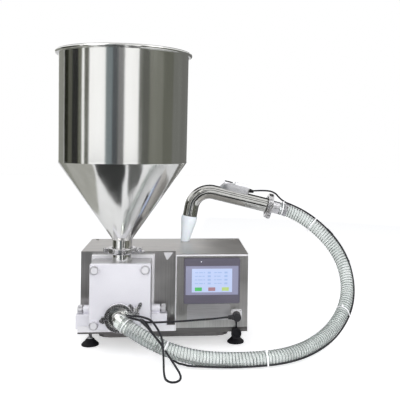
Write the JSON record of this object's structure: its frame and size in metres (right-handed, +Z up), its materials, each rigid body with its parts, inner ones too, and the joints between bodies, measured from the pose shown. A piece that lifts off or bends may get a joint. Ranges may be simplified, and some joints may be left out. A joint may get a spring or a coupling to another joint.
{
  "type": "cake filling machine",
  "caption": "Tabletop lobe-pump filling machine with a conical steel hopper, stainless drive cabinet, touch panel and a hand nozzle on a ribbed hose.",
  "frame": {"origin": "on the table, under the middle of the box round everything but the hose, the control cable and its plug", "axes": "+Z up, -Y towards the user at the touch panel and pump cover, +X to the user's right"},
  "size_m": [0.7388, 0.4535, 0.691],
  "materials": {
    "brushed_stainless": "vertical brushed stainless sheet",
    "polished_stainless": "polished stainless steel",
    "satin_stainless": "fine satin-blasted stainless steel",
    "cast_aluminium": "bare die-cast aluminium",
    "black_rubber": "matt black rubber",
    "black_plastic": "black moulded nylon",
    "grey_plastic": "dark grey moulded ABS",
    "screen_glass": "lit touch screen behind glass",
    "white_plastic": "white food-grade acetal",
    "white_silicone": "white food-grade silicone",
    "clear_pvc": "clear PVC with a steel wire helix",
    "painted_motor": "dark blue stoved enamel",
    "gear_steel": "ground steel"
  },
  "bodies": {
    "cabinet": {"cabinet_shell": "brushed_stainless", "cabinet_lid": "brushed_stainless", "base_pan": "brushed_stainless", "hopper": "polished_stainless", "outlet_elbow": "polished_stainless", "control_socket": "polished_stainless", "neck_clamp_front": "polished_stainless", "neck_clamp_back": "polished_stainless", "neck_clamp_bolt": "polished_stainless", "outlet_clamp_front": "polished_stainless", "outlet_clamp_back": "polished_stainless", "outlet_clamp_bolt": "polished_stainless", "mount_plate": "satin_stainless", "rotor_case": "satin_stainless", "pump_cover": "satin_stainless", "side_block_left": "satin_stainless", "side_block_right": "satin_stainless", "gear_housing": "cast_aluminium", "worm_gearbox": "cast_aluminium", "motor_driver": "cast_aluminium", "levelling_foot_front_left": "black_rubber", "levelling_foot_front_right": "black_rubber", "levelling_foot_rear_left": "black_rubber", "levelling_foot_rear_right": "black_rubber", "shaft_seal_drive": "black_rubber", "shaft_seal_idler": "black_rubber", "control_cable": "black_rubber", "cable_plug": "black_plastic", "mains_inlet": "black_plastic", "panel_housing": "grey_plastic", "panel_glass": "screen_glass", "cover_gasket": "white_silicone", "feed_hose": "clear_pvc", "drive_motor": "painted_motor", "bearing_drive": "gear_steel", "bearing_idler": "gear_steel"},
    "drive_rotor_set": {"shaft_drive": "gear_steel", "rotor_drive": "polished_stainless", "timing_gear_drive": "gear_steel"},
    "idler_rotor_set": {"shaft_idler": "gear_steel", "rotor_idler": "polished_stainless", "timing_gear_idler": "gear_steel"},
    "upper_left_knob": {"cover_knob_upper_left": "polished_stainless"},
    "upper_right_knob": {"cover_knob_upper_right": "polished_stainless"},
    "lower_left_knob": {"cover_knob_lower_left": "polished_stainless"},
    "lower_right_knob": {"cover_knob_lower_right": "polished_stainless"},
    "left_side_screw": {"side_screw_left": "polished_stainless"},
    "right_side_screw": {"side_screw_right": "polished_stainless"},
    "neck_nut": {"neck_wing_nut": "polished_stainless"},
    "outlet_nut": {"outlet_wing_nut": "polished_stainless"},
    "nozzle": {"nozzle_tube": "polished_stainless", "nozzle_tip": "white_plastic", "nozzle_barb": "polished_stainless", "nozzle_clamp_front": "polished_stainless", "nozzle_clamp_back": "polished_stainless", "switch_housing": "satin_stainless"},
    "nozzle_nut": {"nozzle_wing_nut": "polished_stainless"},
    "fill_button": {"nozzle_button": "black_plastic"},
    "socket_cap": {"dust_cap": "black_rubber"},
    "mains_rocker": {"power_rocker": "black_plastic"}
  },
  "joints": [
    {"name": "drive_rotor_turn", "type": "hinge", "parent": "cabinet", "child": "drive_rotor_set", "pos_m": [-0.10855, -0.0383, 0.145], "axis": [0, 1, 0], "continuous": true},
    {"name": "idler_rotor_turn", "type": "hinge", "parent": "cabinet", "child": "idler_rotor_set", "pos_m": [-0.15455, -0.0383, 0.145], "axis": [0, 1, 0], "continuous": true},
    {"name": "upper_left_knob_turn", "type": "hinge", "parent": "cabinet", "child": "upper_left_knob", "pos_m": [-0.18775, -0.0903, 0.1977], "axis": [0, -1, 0], "range_deg": [0, 1080]},
    {"name": "upper_right_knob_turn", "type": "hinge", "parent": "cabinet", "child": "upper_right_knob", "pos_m": [-0.07535, -0.0903, 0.1977], "axis": [0, -1, 0], "range_deg": [0, 1080]},
    {"name": "lower_left_knob_turn", "type": "hinge", "parent": "cabinet", "child": "lower_left_knob", "pos_m": [-0.18775, -0.0903, 0.0745], "axis": [0, -1, 0], "range_deg": [0, 1080]},
    {"name": "lower_right_knob_turn", "type": "hinge", "parent": "cabinet", "child": "lower_right_knob", "pos_m": [-0.07535, -0.0903, 0.0745], "axis": [0, -1, 0], "range_deg": [0, 1080]},
    {"name": "left_side_screw_turn", "type": "hinge", "parent": "cabinet", "child": "left_side_screw", "pos_m": [-0.19985, -0.0248, 0.093], "axis": [-1, 0, 0], "range_deg": [0, 1080]},
    {"name": "right_side_screw_turn", "type": "hinge", "parent": "cabinet", "child": "right_side_screw", "pos_m": [-0.06325, -0.0248, 0.093], "axis": [1, 0, 0], "range_deg": [0, 1080]},
    {"name": "neck_nut_turn", "type": "hinge", "parent": "cabinet", "child": "neck_nut", "pos_m": [-0.09235, -0.0443, 0.2335], "axis": [0, -1, 0], "range_deg": [0, 1080]},
    {"name": "outlet_nut_turn", "type": "hinge", "parent": "cabinet", "child": "outlet_nut", "pos_m": [-0.09273, -0.10645, 0.09906], "axis": [-0.1392, 0, 0.9903], "range_deg": [0, 1080]},
    {"name": "nozzle_lift", "type": "slide", "parent": "cabinet", "child": "nozzle", "axis": [0, 0, 1], "range_m": [0, 0.08], "deforming": ["feed_hose", "control_cable"]},
    {"name": "nozzle_nut_turn", "type": "hinge", "parent": "nozzle", "child": "nozzle_nut", "pos_m": [0.23549, 0.11975, 0.29829], "axis": [0.2022, -0.5, 0.8421], "range_deg": [0, 1080]},
    {"name": "fill_button_press", "type": "slide", "parent": "nozzle", "child": "fill_button", "axis": [-0.2334, 0, -0.9724], "range_m": [0, 0.0025], "stiffness_N_per_m": 500, "springref_m": -0.001},
    {"name": "socket_cap_swing", "type": "hinge", "parent": "cabinet", "child": "socket_cap", "pos_m": [0.13695, -0.0419, 0.0655], "axis": [0, 1, 0], "range_deg": [-30, 30]},
    {"name": "mains_rocker_tip", "type": "hinge", "parent": "cabinet", "child": "mains_rocker", "pos_m": [0.08595, 0.1947, 0.11], "axis": [1, 0, 0], "range_deg": [-18, 0]}
  ],
  "couplings": [
    {"joint": "idler_rotor_turn", "follows": "drive_rotor_turn", "ratio": -1}
  ]
}
